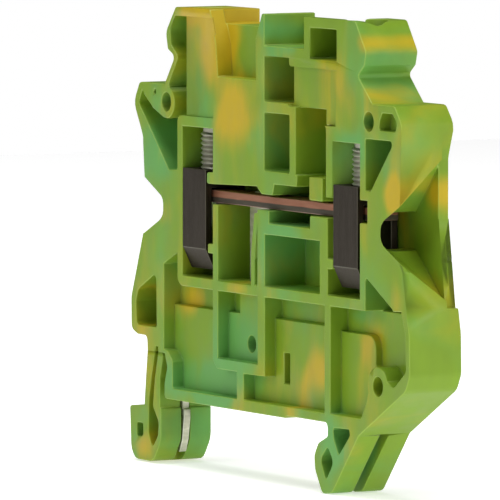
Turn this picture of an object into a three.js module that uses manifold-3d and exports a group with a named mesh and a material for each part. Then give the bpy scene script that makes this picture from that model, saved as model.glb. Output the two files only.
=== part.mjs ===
// Ground terminal block for a 35 mm DIN rail: an open-sided moulded housing with a
// sprung release foot, two screw clamps, the current bar between them and the metal
// plate that earths the block to the rail.
//
// Millimetres. X runs along the block and across the rail, Y runs along the rail
// through the thickness, +Z points away from the rail. The origin is on the rail seat,
// on the rail's centre line and at mid thickness. The open side faces -Y.

import * as THREE from 'three';
import { mergeVertices } from 'three/addons/utils/BufferGeometryUtils.js';
import { ConvexGeometry } from 'three/addons/geometries/ConvexGeometry.js';
import Module from 'manifold-3d';

const wasm = await Module();
wasm.setup();

// ---------------------------------------------------------------------------
// Driving dimensions
// ---------------------------------------------------------------------------

// Housing
const thickness = 6.1;        // space that one block takes up on the rail
const rearWall = 1.2;         // closed side
const rib = 1.1;              // walls between the chambers
const rim = 0.85;             // wall round the outside
const shoulderRise = 3.1;     // from the clamp deck to the shoulders
const towerRise = 8.2;        // from the shoulders to the top of the towers
const baseHeight = 1.2;       // strip that sits on the rail
const deckHeight = 12.15;     // underside of the deck below the clamps
const floorDepth = 1.36;      // shallow panels, from the open side

// Rail
const railWidth = 35;
const railPlay = 0.3;         // spare width between the two feet
const lipGap = 1.15;          // height left for the rail's lip
const footDrop = 6.9;         // feet below the rail seat

// Clamps
const clampSpan = 31.6;       // between the two screw axes
const clampOffset = 5.6;      // middle of the clamps from the rail's centre line
const cageLength = 4.9;
const cageWall = 0.8;
const cageFloor = 1.1;
const collarHeight = 1.9;     // threaded top of the cage
const wireMouth = 6.0;        // open space below the bar
const clampTravel = 4.0;      // how far a cage rises
const cageRun = 0.3;          // gap between a cage and what it slides past
const cageShift = 0.2;        // how far both cages sit to the left of their screws
const wireEntryRadius = 1.95;

// Screws
const threadRadius = 1.5;
const threadPitch = 0.5;
const headRadius = 1.75;
const headHeight = 2.2;
const screwClearance = 0.2;

// Current bar and rail plate
const barHeight = 1.3;
const barSide = 0.15;         // gap between the bar and the inside of a cage
const plateThickness = 0.8;
const toothReach = 0.3;       // how far the plate's teeth reach under the rail's lips
const plateSide = 0.12;       // gap between the plate and its slot

// Release foot
const rootGap = 0.3;          // cut at the root of the legs, where the foot hinges
const rootHeight = 4.5;       // top of the moving legs

const arcStep = Math.PI / 10;

// ---------------------------------------------------------------------------
// Sizes that follow
// ---------------------------------------------------------------------------

const front = -thickness / 2;
const rear = thickness / 2;
const openSide = front - 1;    // where cuts into the open side start, clear of it
const chamberBack = rear - rearWall;

const plateFront = -plateThickness / 2;
const plateBack = plateThickness / 2;
const slotFront = plateFront - plateSide;
const slotBack = plateBack + plateSide;

const floorSkin = 0.4;
const floorY = front + floorDepth;
const recessY = slotFront - floorSkin;

const leftAxis = clampOffset - clampSpan / 2;
const rightAxis = clampOffset + clampSpan / 2;
const railStop = (railWidth + railPlay) / 2;

const cageFront = front + 0.02;
const cageBack = chamberBack - 0.12;
const clampY = (cageFront + cageBack) / 2;

const deckTop = deckHeight + rib;
const cageBottom = deckTop + 0.85;
const barBottom = cageBottom + cageFloor + wireMouth;
const barTop = barBottom + barHeight;
const collarBottom = barTop + 0.2;
const cageTop = collarBottom + collarHeight;
const roofUnder = cageTop + clampTravel + 0.35;
const roofTop = roofUnder + rib;
const shoulder = roofTop + shoulderRise;
const towerTop = shoulder + towerRise;
const wireZ = barBottom - 1;

const barFront = cageFront + cageWall + barSide;
const barBack = cageBack - cageWall - barSide;
const guideBottom = barTop + 0.7;    // guides beside the cages, above the bar

const pocketOuter = cageLength / 2 + cageRun;
const pocketInner = cageLength / 2 + 1.35;
const centreLeft = 3.15;                // faces of the wall in the middle, below the bar
const centreRight = centreLeft + 1.45;
const rightInner = pocketInner + 0.4;   // the right pocket's inner wall starts a little further in
const entryWall = pocketOuter + rib;

// Places measured outwards from the two screw axes.
const left = (distance) => leftAxis - distance;
const right = (distance) => rightAxis + distance;

// ---------------------------------------------------------------------------
// Solids
// ---------------------------------------------------------------------------

// Turns a closed geometry into a solid for joining and cutting.
function solid(geometry) {
  const bare = geometry.index ? geometry.toNonIndexed() : geometry.clone();
  bare.deleteAttribute('normal');
  bare.deleteAttribute('uv');
  const merged = mergeVertices(bare, 1e-4);
  return new wasm.Manifold(new wasm.Mesh({
    numProp: 3,
    vertProperties: new Float32Array(merged.attributes.position.array),
    triVerts: new Uint32Array(merged.index.array),
  }));
}

function join(...solids) {
  return solids.reduce((whole, piece) => whole.add(piece));
}

// Corner points [x, z, radius], with every radius drawn as an arc.
function outline(corners) {
  const points = [];
  const count = corners.length;
  corners.forEach(([x, z, radius = 0], index) => {
    const corner = new THREE.Vector2(x, z);
    if (radius === 0) {
      points.push(corner);
      return;
    }
    const before = corners[(index + count - 1) % count];
    const after = corners[(index + 1) % count];
    const toBefore = new THREE.Vector2(before[0] - x, before[1] - z);
    const toAfter = new THREE.Vector2(after[0] - x, after[1] - z);
    const room = 0.48 * Math.min(toBefore.length(), toAfter.length());
    toBefore.normalize();
    toAfter.normalize();
    const half = Math.acos(THREE.MathUtils.clamp(toBefore.dot(toAfter), -1, 1)) / 2;
    const reach = Math.min(radius / Math.tan(half), room);
    const start = corner.clone().addScaledVector(toBefore, reach);
    const end = corner.clone().addScaledVector(toAfter, reach);
    const bow = Math.PI - 2 * half;
    const steps = Math.max(2, Math.round(bow / arcStep));
    const size = reach * Math.tan(half);
    const middle = toBefore.clone().add(toAfter).normalize();
    const centre = corner.clone().addScaledVector(middle, size / Math.sin(half));
    const first = start.clone().sub(centre);
    const turn = Math.sign(first.cross(end.clone().sub(centre))) * bow;
    for (let step = 0; step <= steps; step += 1) {
      const spoke = first.clone().rotateAround(new THREE.Vector2(), (turn * step) / steps);
      points.push(centre.clone().add(spoke));
    }
  });
  return points;
}

// A flat piece with the given outline, between two depths.
function slab(corners, fromY, toY) {
  const shape = new THREE.Shape(outline(corners));
  const geometry = new THREE.ExtrudeGeometry(shape, { depth: toY - fromY, bevelEnabled: false });
  geometry.rotateX(Math.PI / 2);
  geometry.translate(0, toY, 0);
  return solid(geometry);
}

function rectangle(x0, x1, z0, z1, radius = 0) {
  return [[x0, z0, radius], [x1, z0, radius], [x1, z1, radius], [x0, z1, radius]];
}

function block(x0, x1, fromY, toY, z0, z1) {
  return slab(rectangle(x0, x1, z0, z1), fromY, toY);
}

// A round bar along Y.
function pin(x, z, radius, fromY, toY, sides = 20) {
  const geometry = new THREE.CylinderGeometry(radius, radius, toY - fromY, sides);
  geometry.translate(x, (fromY + toY) / 2, z);
  return solid(geometry);
}

// A turned piece along Z; the profile is [radius, z] from the bottom up.
function turned(profile, x, y, sides = 28) {
  const points = profile.map(([radius, z]) => new THREE.Vector2(radius, z));
  const geometry = new THREE.LatheGeometry(points, sides);
  geometry.rotateX(Math.PI / 2);
  geometry.translate(x, y, 0);
  return solid(geometry);
}

function mesh(name, body, material) {
  const data = body.getMesh();
  const geometry = new THREE.BufferGeometry();
  geometry.setAttribute('position', new THREE.BufferAttribute(data.vertProperties, 3));
  geometry.setIndex(new THREE.BufferAttribute(data.triVerts, 1));
  geometry.computeVertexNormals();
  const piece = new THREE.Mesh(geometry, material);
  piece.name = name;
  return piece;
}

// ---------------------------------------------------------------------------
// Materials
// ---------------------------------------------------------------------------

const plastic = new THREE.MeshStandardMaterial({ color: 0x8fae45, roughness: 0.45, metalness: 0 });
const footPlastic = new THREE.MeshStandardMaterial({ color: 0x6fa354, roughness: 0.45, metalness: 0 });
const steel = new THREE.MeshStandardMaterial({ color: 0x3f3a36, roughness: 0.38, metalness: 0.9 });
const zinc = new THREE.MeshStandardMaterial({ color: 0x9a928c, roughness: 0.3, metalness: 1 });
const copper = new THREE.MeshStandardMaterial({ color: 0xa8664f, roughness: 0.35, metalness: 1 });
const tin = new THREE.MeshStandardMaterial({ color: 0xc9c2b8, roughness: 0.3, metalness: 1 });

// ---------------------------------------------------------------------------
// Housing
// ---------------------------------------------------------------------------

const bridgeLeft = leftAxis + pocketInner + rib;     // left side of the jumper channel
const bridgeRight = 2.75;
const towerSide = 4.5;                               // right side of the left tower
const rightTower = right(-2.0);
const guideLeft = right(-4.05);                      // left face of the right clamp's tall guide
const guideGap = 0.12;                               // gap between that guide and its cage
const ringX = right(6.4);                            // ring in the lower right corner
const ringZ = 4.7;
const windowSill = wireZ + 4.9;                      // bottom of the chamber beside that guide
const legOuter = -railStop - 2.95;                   // outer face of the outer leg
const legSplit = -railStop - 1.2;                    // slit between the two legs
const legInner = -railStop + 0.55;                   // inner face of the inner leg

function housingOutline() {
  return [
    [-railStop + 0.75, 0, 0.5],
    [railStop - 8.8, 0],
    [railStop - 8.4, 0.25],
    [railStop, 0.25, 0.6],
    [railStop, -lipGap, 0.3],
    [railStop - 1.9, -lipGap - 0.8, 0.8],
    [railStop - 2.75, -lipGap - 2.1, 1],
    [railStop - 2.6, -lipGap - 3.6, 1.5],
    [railStop - 1.1, -footDrop - 0.2, 0.7],
    [railStop + 0.9, -footDrop, 1],
    [railStop + 6.3, -0.6, 1],
    [right(11.9), 4.55, 1.5],
    [right(12.75), 6.2, 1.2],
    [right(12.65), 10.3, 3],
    [right(11.3), wireZ - 3.6, 1],
    [right(10.7), wireZ - 2.8, 0.4],
    [right(10.8), wireZ + 3],
    [right(11.1), roofTop + 1.3, 1.5],
    [right(9.6), shoulder, 0.8],
    [right(5.2), shoulder, 0.2],
    [right(2.3), towerTop - 5.5, 0.4],
    [right(3.6), towerTop - 4.5, 0.3],
    [right(4), towerTop - 3.1, 0.6],
    [right(1.8), towerTop, 0.6],
    [left(4.2), towerTop, 0.3],
    [left(6.35), towerTop - 2.7, 1.2],
    [left(5.9), towerTop - 4.5, 0.3],
    [left(4.4), towerTop - 5.2, 0.5],
    [left(6.6), shoulder + 0.05, 0.2],
    [left(12.1), shoulder, 0.6],
    [left(13.4), roofTop + 0.9, 1.5],
    [left(11.3), roofTop - 2.7, 3],
    [left(10.95), wireZ + 3, 0.6],
    [left(11.3), wireZ - 2.85, 0.3],
    [left(14), 10.3, 2],
    [left(13.95), 6.9, 0.8],
    [left(12.6), 6.4, 0.3],
    [legOuter - 0.1, 6.4, 0.6],
    [legOuter, rootHeight + rootGap],
    [legSplit - 0.1, rootHeight + rootGap],
    [legSplit, rootHeight + rootGap + 0.6],
    [legSplit + 0.55, rootHeight + rootGap + 0.6],
    [legSplit + 0.6, rootHeight + rootGap],
    [legInner + 0.35, rootHeight + rootGap],
    [legInner + 0.8, rootHeight - 1.2, 0.5],
    [-railStop + 0.75, 1.6, 0.4],
  ];
}

// Chamber down the left side, behind the marker tower and the shoulder.
function leftSideChamber() {
  const inner = leftAxis - pocketOuter - rib;
  return slab([
    [left(4.3), towerTop - 0.9],
    [left(2.1), towerTop - 0.9],
    [left(2.1), roofTop],
    [inner, roofTop, 0.7],
    [inner, wireZ + 4.1, 0.3],
    [left(5.7), wireZ + 4, 0.3],
    [left(10.1), roofTop - 1.3, 1],
    [left(12.35), roofTop + 0.9, 0.6],
    [left(11.5), shoulder - rim, 0.4],
    [left(5.9), shoulder - rim],
    [left(5.6), shoulder + 0.3, 0.5],
    [left(3.6), towerTop - 5.2, 0.5],
    [left(5.2), towerTop - 4.0, 0.5],
    [left(5.4), towerTop - 2.6, 0.8],
  ], openSide, chamberBack);
}

// Ring that takes a locating pin, with the web that ties it to the shoulder.
function leftBoss() {
  const x = left(6.2);
  const z = shoulder - 1.85;
  return join(
    pin(x, z, 1.75, openSide, chamberBack),
    slab([
      [x + 1.2, z + 1.2],
      [x - 1, z - 1.45],
      [left(9.3), roofTop + 0.6],
      [left(11.2), shoulder - 1.2],
      [left(11.4), shoulder - 0.3],
      [x + 0.9, shoulder - 0.3],
    ], openSide, chamberBack),
  );
}

// Three-cornered chamber beside the right clamp, and the shallow one in the shoulder above.
function rightSideChamber() {
  const top = roofTop - 0.5;
  const sill = roofTop + 0.45;
  return join(
    slab([
      [entryEdge(), wireZ + 4.1],
      [right(4.9), wireZ + 4.1, 0.3],
      [right(9.6), top, 0.4],
      [entryEdge(), top, 0.2],
    ], openSide, chamberBack),
    slab([
      [right(6.5), sill, 0.3],
      [right(9.8), sill, 0.3],
      [right(10.2), roofTop + 1.4, 0.8],
      [right(9.2), shoulder - rim, 0.4],
      [right(7.2), shoulder - rim, 0.4],
      [right(6.7), sill + 1],
    ], openSide, floorY),
  );
}

function entryEdge() {
  return right(entryWall);
}

// Lower chamber in the bulge on the left.
function bulgeChamber() {
  return slab([
    [left(8.4), 7.4, 0.3],
    [left(8.5), deckTop - 0.1, 0.5],
    [left(12.5), deckHeight - 1, 0.6],
    [left(12.95), 9.9, 0.4],
    [left(12.8), 7.4, 0.5],
  ], openSide, chamberBack);
}

// One clamp pocket. The side away from the middle is the wire entry side.
function clampPocket(axis, outward) {
  const outer = axis + outward * pocketOuter;
  const inner = axis - outward * pocketInner;
  const [x0, x1] = [Math.min(outer, inner), Math.max(outer, inner)];
  return slab(rectangle(x0, x1, deckTop, roofUnder), openSide, chamberBack);
}

// Key that stops a cage from turning, on the inner wall of its pocket.
function cageKey(axis, outward) {
  const wall = axis - outward * (pocketInner + 0.2);
  const tip = axis - outward * (cageLength / 2 + cageRun);
  const z = cageBottom + 1.85;
  return block(Math.min(wall, tip), Math.max(wall, tip), openSide, chamberBack, z, z + 1);
}

// Short guide above the bar, on the inner wall of the left pocket.
function leftGuide() {
  const tip = leftAxis - cageShift + cageLength / 2 + cageRun;
  return slab(
    rectangle(tip, leftAxis + pocketInner + 0.5, guideBottom, guideBottom + 1.2, 0.3),
    openSide,
    chamberBack,
  );
}

// Tall guide above the bar, between the right pocket and the chamber beside it.
function rightGuide() {
  const tip = rightAxis - cageShift - cageLength / 2 - guideGap;
  return slab([
    [guideLeft, guideBottom, 0.3],
    [tip, guideBottom, 0.3],
    [tip, roofUnder + 0.1],
    [guideLeft, roofUnder + 0.1],
  ], openSide, chamberBack);
}

// Round way for the screwdriver, from the top of the tower to the clamp.
function screwWay(axis) {
  const bore = headRadius + screwClearance;
  const neck = threadRadius + screwClearance;
  return turned([
    [0, roofUnder - 0.5],
    [neck, roofUnder - 0.5],
    [neck, roofTop],
    [bore, roofTop],
    [bore, towerTop - 1.1],
    [bore + 0.45, towerTop + 0.5],
    [0, towerTop + 0.5],
  ], axis, clampY);
}

// Wire entry: a round hole that opens into a wide funnel on the end of the block.
function wireEntry(outward) {
  const axis = outward > 0 ? rightAxis : leftAxis;
  const at = (distance) => axis + outward * distance;
  const reach = 14;
  const hole = new THREE.CylinderGeometry(wireEntryRadius, wireEntryRadius, 6, 24);
  hole.rotateZ(Math.PI / 2);
  hole.translate(at(5), clampY, wireZ);
  const squareBack = block(
    Math.min(at(2), at(entryWall + 2)),
    Math.max(at(2), at(entryWall + 2)),
    clampY,
    chamberBack,
    wireZ - wireEntryRadius,
    wireZ + wireEntryRadius,
  );
  const points = [-1, 1].map((side) => (
    new THREE.Vector3(at(entryWall + 1.9), chamberBack, wireZ + side * wireEntryRadius)
  ));
  for (let step = 0; step < 24; step += 1) {
    const angle = (step / 24) * 2 * Math.PI;
    points.push(new THREE.Vector3(
      at(entryWall + 1.9),
      clampY + wireEntryRadius * Math.cos(angle),
      wireZ + wireEntryRadius * Math.sin(angle),
    ));
  }
  const mouth = 10.9;
  [[-1.4, 1.6], [0, 2.85]].forEach(([depth, height]) => {
    [-1, 1].forEach((side) => {
      points.push(new THREE.Vector3(at(mouth), front + depth, wireZ + side * height));
      points.push(new THREE.Vector3(at(reach), front + depth * 1.6, wireZ + side * (height + 0.4)));
    });
  });
  [[7.6, 1], [-6.4, -1]].forEach(([height, side]) => {
    points.push(new THREE.Vector3(at(mouth), chamberBack, wireZ + height));
    points.push(new THREE.Vector3(at(reach), chamberBack, wireZ + height + side));
  });
  return join(solid(hole), squareBack, solid(new ConvexGeometry(points)));
}

// Shallow relief in the edge of the rear wall behind a funnel.
function entryRelief(outward) {
  const axis = outward > 0 ? rightAxis : leftAxis;
  const at = (distance) => axis + outward * distance;
  return slab([
    [at(13.5), wireZ - 7.4],
    [at(13.5), wireZ + 11],
    [at(11.3), wireZ + 11],
    [at(10.1), wireZ + 7.6, 2],
    [at(10.1), wireZ + 1.5, 1],
    [at(11.5), wireZ - 7.4],
  ], chamberBack - 0.1, rear + 1);
}

// Channel for a plug-in jumper, with a flared mouth.
function jumperChannel() {
  return slab([
    [bridgeLeft, roofTop + 4.4],
    [bridgeRight, roofTop + 4.4],
    [bridgeRight - 0.1, towerTop - 2.8],
    [bridgeRight + 1.3, towerTop + 0.1],
    [bridgeLeft - 1.7, towerTop + 0.1],
    [bridgeLeft - 0.4, towerTop - 3.6],
  ], openSide, front + 1.8);
}

// Lower top of the left tower behind the jumper channel, and the flat face above the left clamp.
function towerSteps() {
  const face = 0.2;
  return join(
    block(bridgeLeft - 1.8, towerSide - 0.8, front + 1.7, rear + 1, towerTop - 1.45, towerTop + 1),
    block(left(2.15), left(-4.1), openSide, front + face, roofTop, towerTop - 0.9),
  );
}

// Open middle of the top, between the two towers: a ledge with an open compartment above it, and a
// post and a top band that frame a deep window beside the right tower.
function middleCuts() {
  const ledge = towerTop - 3.25;
  const ledgeBottom = ledge - 1;
  const postLeft = towerSide + 8.2;
  const postRight = postLeft + 1.3;
  const bandBottom = towerTop - 1.05;
  const panelLeft = towerSide + 5.25;
  const windowRight = right(-5.1);
  const panelTop = ledge - 1.9;
  const panelBottom = roofTop + 2.0;
  const panelStep = roofTop + 0.4;
  return join(
    block(towerSide, postLeft, openSide, chamberBack, ledge, towerTop + 1),
    block(towerSide, rightTower, front + rib, rear + 1, towerTop - 0.7, towerTop + 1),
    slab(rectangle(postRight, rightTower, ledgeBottom, bandBottom, 0.2), openSide, chamberBack),
    slab(rectangle(towerSide, panelLeft, roofTop + 2.3, ledgeBottom - 0.05, 0.25), openSide, chamberBack),
    slab(rectangle(towerSide, panelLeft, wireZ + 5, roofTop + 1.15, 0.25), openSide, chamberBack),
    slab([
      [panelLeft - 0.2, panelBottom],
      [windowRight, panelBottom],
      [windowRight, panelStep],
      [rightTower, panelStep],
      [rightTower, panelTop],
      [panelLeft, panelTop, 0.6],
      [panelLeft, panelTop + 0.8],
      [panelLeft - 0.2, panelTop + 0.8],
    ], openSide, front + 0.6),
    block(panelLeft + 1.25, windowRight, openSide, chamberBack, windowSill, panelBottom),
    slab([
      [panelLeft + 1.25, windowSill],
      [guideLeft, windowSill],
      [guideLeft, panelStep, 0.4],
      [panelLeft + 1.25, panelStep],
    ], openSide, chamberBack),
  );
}

// Space in which the current bar lies.
function barSpace() {
  const wallLeft = leftAxis + pocketInner;
  const wallRight = rightAxis - pocketInner;
  const under = barBottom - 0.08;
  const blockLeft = guideLeft - 3.5;
  const blockRight = guideLeft - 0.8;
  return join(
    slab([
      [wallLeft - 0.2, under],
      [wallRight + 1.4, under],
      [wallRight + 1.4, guideBottom],
      [guideLeft, guideBottom],
      [guideLeft, windowSill + 0.1],
      [blockRight, windowSill + 0.1],
      [blockRight, barTop + 0.2, 0.2],
      [blockLeft, barTop + 0.2, 0.2],
      [blockLeft, windowSill + 0.1],
      [wallRight - 6.2, windowSill + 0.1],
      [wallRight - 6.4, barTop + 1.4],
      [6.6, barTop + 1.4],
      [6.2, barTop + 0.25],
      [3.9, barTop + 0.25],
      [2.9, barTop + 1],
      [wallLeft - 0.2, guideBottom],
    ], openSide, chamberBack),
    block(towerSide + 1, wallRight - 3.6, openSide, chamberBack, under - 1.3, under + 0.1),
    block(left(4.4), wallLeft, barFront - 0.2, barBack + 0.2, barBottom - 0.2, barTop + 0.2),
    block(rightAxis, right(4.25), openSide, barBack + 0.2, barBottom - 0.2, barTop + 0.8),
  );
}

// Chambers between the bar and the lower deck.
function middleChambers() {
  const wallLeft = leftAxis + pocketInner + rib;
  const wallRight = rightAxis - rightInner - 1.2;
  return join(
    block(wallLeft, centreLeft, openSide, chamberBack, deckTop, barBottom),
    block(centreRight, wallRight, openSide, chamberBack, deckTop, barBottom - 2.55),
  );
}

// Slanted guide rib in the left one of those chambers.
function guideRib() {
  return slab([
    [1.7, deckTop - 0.1],
    [2.55, deckTop - 0.1],
    [2.55, deckTop + 2.6],
    [3.3, barBottom - 0.4],
    [2.5, barBottom - 0.5],
    [1.7, deckTop + 2.6],
  ], openSide, chamberBack + 0.1);
}

// Outline of the lower right corner, over the ring and up to the wire entry.
function lowerCorner() {
  return [
    [right(5.5), 6.2],
    [right(8.6), 5.2],
    [right(9.5), 4.75, 0.4],
    [right(12), 6.6, 0.8],
    [right(11.9), 10.2, 1.5],
    [right(11), deckHeight + 0.4],
    [entryEdge(), deckHeight],
  ];
}

// Shallow panels below the lower deck.
function lowerPanels() {
  const wallLeft = leftAxis + pocketInner;
  const rightWall = rightAxis - pocketInner + 0.6;
  const ribLeft = rightWall - 1.2;
  const panelTop = deckHeight - 2.2;
  const stripTop = 5.1;
  const stripBottom = 4;
  const edgeLeft = -railStop + 0.65;
  const postLeft = -1.29;
  return join(
    slab([
      [edgeLeft, rootHeight + 0.7],
      [edgeLeft + 0.8, rootHeight + 0.6, 0.5],
      [edgeLeft + 1.9, rootHeight - 0.4, 0.5],
      [edgeLeft + 1.9, baseHeight, 0.3],
      [postLeft, baseHeight],
      [postLeft, stripBottom],
      [wallLeft + 0.9, stripBottom, 0.3],
      [wallLeft, stripTop - 0.2],
      [wallLeft, deckHeight],
      [edgeLeft, deckHeight],
    ], openSide, floorY),
    block(wallLeft + rib, centreLeft, openSide, floorY, stripTop, deckHeight),
    slab([
      [postLeft + 1.45, baseHeight],
      [ribLeft, baseHeight],
      [ribLeft, deckHeight],
      [centreRight, deckHeight],
      [centreRight, stripBottom - 0.05],
      [postLeft + 1.45, stripBottom - 0.1],
    ], openSide, floorY),
    slab([
      [rightWall, baseHeight],
      [right(3), baseHeight, 0.3],
      [right(4.3), 3.2, 0.5],
      ...lowerCorner(),
      [rightWall, deckHeight],
    ], openSide, floorY),
  ).add(lowerRecesses(wallLeft, ribLeft, rightWall, panelTop)).subtract(lowerRing());
}

// Deeper steps above and beside the shallow panels.
function lowerRecesses(wallLeft, ribLeft, rightWall, panelTop) {
  const inner = leftAxis - pocketOuter - rib;
  const recessLength = 2.95;
  const outer = inner - recessLength;
  return join(
    slab([
      [outer, panelTop],
      [wallLeft, panelTop],
      [wallLeft, deckHeight],
      [inner, deckHeight, 1.1],
      [inner, deckTop + 2.3],
      [outer, deckTop + 1],
    ], openSide, recessY),
    block(wallLeft + rib, -3, openSide, recessY, panelTop, deckHeight),
    block(centreRight, ribLeft, openSide, recessY, panelTop, deckHeight),
    slab([
      [rightWall, panelTop - 0.35],
      [right(3.7), panelTop - 0.35, 2.4],
      [right(3.7), 6.5, 0.3],
      ...lowerCorner(),
      [rightWall, deckHeight],
    ], openSide, recessY),
    slab([
      [entryEdge(), deckHeight - 0.05],
      [right(9.6), deckHeight - 0.05, 0.3],
      [right(9.3), deckHeight + 0.5],
      [entryEdge(), deckTop + 2.4, 0.3],
    ], openSide, chamberBack),
  );
}

// Ring for a locating pin in the lower right corner.
function lowerRing() {
  return pin(ringX, ringZ, 1.95, openSide, chamberBack, 32);
}

// Locating holes in the rings, and the small sinks in the panels.
function locatingHoles() {
  return join(
    pin(left(6.25), shoulder - 1.85, 1, openSide, chamberBack, 24),
    pin(right(4.5), shoulder - 1.85, 1, openSide, chamberBack, 24),
    pin(ringX, ringZ, 1, openSide, chamberBack, 24),
    pin(-0.5, 6.9, 0.88, openSide, slotFront + 0.1, 20),
    block(6.3, 7.5, openSide, slotFront + 0.1, 3.3, 6.5),
    pin(left(8.75), shoulder - 0.9, 0.3, openSide, front + 0.6, 10),
  );
}

// Slot at mid thickness for the rail plate.
function plateSlot() {
  return join(
    slab([
      [-railStop - 3, -footDrop - 1],
      [railStop + 9, -footDrop - 1],
      [railStop + 6, 0.6],
      [railStop + 5.4, 5.2],
      [railStop - 3.4, deckHeight - 2.7],
      [-13.4, deckHeight - 2.7],
      [-14.6, 4],
      [-railStop - 1, 3],
      [-railStop - 3, 0],
    ], slotFront, slotBack),
    block(-3.6, 1.4, slotFront, slotBack, deckHeight - 3, deckTop + 0.1),
  );
}

// Pockets in the hooked right foot.
function hookPockets() {
  return join(
    slab([
      [railStop + 1.1, -0.2, 0.3],
      [railStop + 1.25, -1.3],
      [railStop + 2.25, -2.9, 0.2],
      [railStop + 4.5, -0.75, 0.3],
      [railStop + 4.4, -0.1, 0.3],
    ], front, rear + 1),
    slab([
      [railStop, -2.2, 0.3],
      [railStop - 1.5, -3.6, 0.8],
      [railStop - 0.35, -5.7, 0.3],
      [railStop + 1.2, -3.7, 0.8],
    ], front, rear + 1),
  );
}

function buildHousing() {
  const cuts = join(
    leftSideChamber().subtract(leftBoss()),
    rightSideChamber(),
    bulgeChamber(),
    clampPocket(leftAxis, -1).subtract(join(cageKey(leftAxis, -1), leftGuide())),
    clampPocket(rightAxis, 1).subtract(join(cageKey(rightAxis, 1), rightGuide())),
    jumperChannel(),
    towerSteps(),
    middleCuts(),
    barSpace(),
    middleChambers().subtract(guideRib()),
    lowerPanels(),
    locatingHoles(),
    plateSlot(),
    hookPockets(),
    screwWay(leftAxis),
    screwWay(rightAxis),
    wireEntry(-1),
    wireEntry(1),
    entryRelief(-1),
    entryRelief(1),
  );
  return slab(housingOutline(), front, rear).subtract(cuts);
}

// ---------------------------------------------------------------------------
// Release foot: two thin legs, a block that reaches down beside the rail and the
// slot for a screwdriver blade
// ---------------------------------------------------------------------------

function buildFoot() {
  const stop = -railStop;
  const body = slab([
    [legOuter, rootHeight],
    [stop - 3.3, 2.2],
    [stop - 3.65, -lipGap + 0.2],
    [stop - 6.85, -lipGap - 0.15, 0.3],
    [stop - 6.6, -footDrop + 1, 1.5],
    [stop - 5.6, -footDrop, 1.2],
    [stop - 1.7, -footDrop, 1.6],
    [stop, -footDrop + 2.4, 2],
    [stop, -lipGap, 0.2],
    [stop - 0.25, -lipGap + 0.1],
    [stop - 0.25, 2.2, 1],
    [legInner, rootHeight],
    [legSplit + 0.6, rootHeight],
    [stop - 1.35, 2.1, 1],
    [stop - 1.8, -lipGap + 0.2, 0.5],
    [stop - 0.5, -lipGap - 1.5, 0.8],
    [stop - 0.7, -lipGap - 2.9, 1],
    [stop - 1.95, -footDrop + 1.4, 0.4],
    [stop - 2.75, -footDrop + 3, 1],
    [stop - 2.65, -0.2, 1],
    [stop - 2, 2.5, 1],
    [legSplit - 0.1, rootHeight],
  ], front, rear);
  const bladeSlot = slab(
    rectangle(stop - 5.3, stop - 3.95, -lipGap - 3.3, -lipGap - 1.8, 0.3),
    openSide,
    rear + 1,
  );
  const plateRoom = slab([
    [stop - 2.5, -footDrop - 1],
    [stop + 1, -footDrop - 1],
    [stop + 1, 3.4],
    [stop - 1.6, 3.4],
    [stop - 2.5, 0],
  ], slotFront, slotBack);
  return body.subtract(join(bladeSlot, plateRoom));
}

// ---------------------------------------------------------------------------
// Clamps
// ---------------------------------------------------------------------------

// Section of a cage across the block, as [y, z] corners.
function cageSection(inset) {
  const y0 = cageFront + inset;
  const y1 = cageBack - inset;
  const bend = 1.05;
  const floor = cageBottom + (inset > 0 ? cageFloor : 0);
  const start = cageBottom + 2.2;
  return [[y0, start], [y0 + bend, floor], [y1 - bend, floor], [y1, start]];
}

// A bent steel cage, open along X, with the threaded collar on top.
function buildCage(axis) {
  const across = (corners) => {
    const shape = new THREE.Shape(corners.map(([y, z]) => new THREE.Vector2(y, z)));
    const geometry = new THREE.ExtrudeGeometry(shape, { depth: cageLength, bevelEnabled: false });
    geometry.rotateX(Math.PI / 2);
    geometry.rotateZ(Math.PI / 2);
    geometry.translate(axis - cageShift - cageLength / 2, 0, 0);
    return solid(geometry);
  };
  const outside = across([...cageSection(0), [cageBack, cageTop], [cageFront, cageTop]]);
  const inside = across([
    ...cageSection(cageWall),
    [cageBack - cageWall, collarBottom],
    [cageFront + cageWall, collarBottom],
  ]);
  const hole = turned([
    [0, collarBottom - 1],
    [threadRadius + screwClearance, collarBottom - 1],
    [threadRadius + screwClearance, cageTop + 1],
    [0, cageTop + 1],
  ], axis, clampY);
  return outside.subtract(inside).subtract(hole);
}

// A clamp screw: slotted cheese head, smooth neck and a ridged shank.
function buildScrew(axis) {
  const tip = barTop + 0.25;
  const headBottom = roofTop + 0.15;
  const headTop = headBottom + headHeight;
  const root = threadRadius - 0.28;
  const profile = [[0, tip], [root - 0.25, tip]];
  for (let z = tip + threadPitch / 2; z < roofUnder - threadPitch; z += threadPitch) {
    profile.push([root, z]);
    profile.push([threadRadius, z + threadPitch / 2]);
  }
  profile.push([root, roofUnder - 0.2]);
  profile.push([root, headBottom]);
  profile.push([headRadius, headBottom]);
  profile.push([headRadius, headTop - 0.25]);
  profile.push([headRadius - 0.25, headTop]);
  profile.push([0, headTop]);
  const slotWidth = 0.7;
  const slotDepth = 1.1;
  const slot = block(
    axis - headRadius - 1,
    axis + headRadius + 1,
    clampY - slotWidth / 2,
    clampY + slotWidth / 2,
    headTop - slotDepth,
    headTop + 1,
  );
  return turned(profile, axis, clampY, 20).subtract(slot);
}

// ---------------------------------------------------------------------------
// Current bar and rail plate
// ---------------------------------------------------------------------------

const neckLeft = -3.2;
const neckRight = 1.1;
const tenonHalf = 1.1;
const tenonX = (neckLeft + neckRight) / 2;
const tenonGap = 0.05;

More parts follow.
